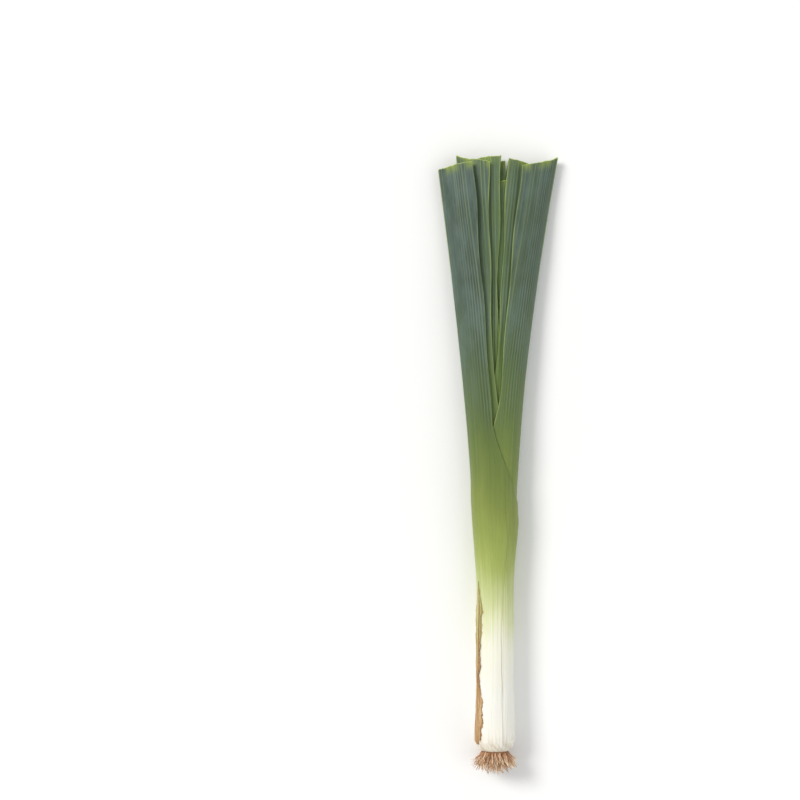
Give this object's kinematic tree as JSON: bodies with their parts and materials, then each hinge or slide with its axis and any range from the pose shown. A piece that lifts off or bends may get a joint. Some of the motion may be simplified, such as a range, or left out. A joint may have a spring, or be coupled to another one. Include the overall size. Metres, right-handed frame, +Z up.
{
  "type": "leek",
  "caption": "Whole trimmed leek lying on its side: white shaft with a slight bulb, cut roots and a flat fan of folded blue-green leaves.",
  "frame": {"origin": "on the table under the middle of the leek, at the bottom centre of its box", "axes": "+Y from the roots to the leaf tops, +X across the fan of leaves, +Z up from the table"},
  "size_m": [0.1092, 0.5608, 0.0374],
  "materials": {
    "root": "dry, rough and fibrous",
    "shaft": "smooth, moist sheath with fine lengthwise veins, white turning green",
    "dry_skin": "papery dried skin",
    "leaf": "waxy blue-green blade with fine lengthwise veins",
    "inner_leaf": "tender yellow-green blade with fine lengthwise veins"
  },
  "bodies": {
    "root": {"root_tuft": "root", "shank": "shaft", "dry_strip": "dry_skin", "leaf_1": "leaf", "leaf_2": "leaf", "leaf_3": "leaf", "leaf_4": "leaf", "leaf_5": "inner_leaf", "leaf_6": "inner_leaf", "leaf_7": "inner_leaf", "leaf_8": "inner_leaf"}
  },
  "joints": []
}
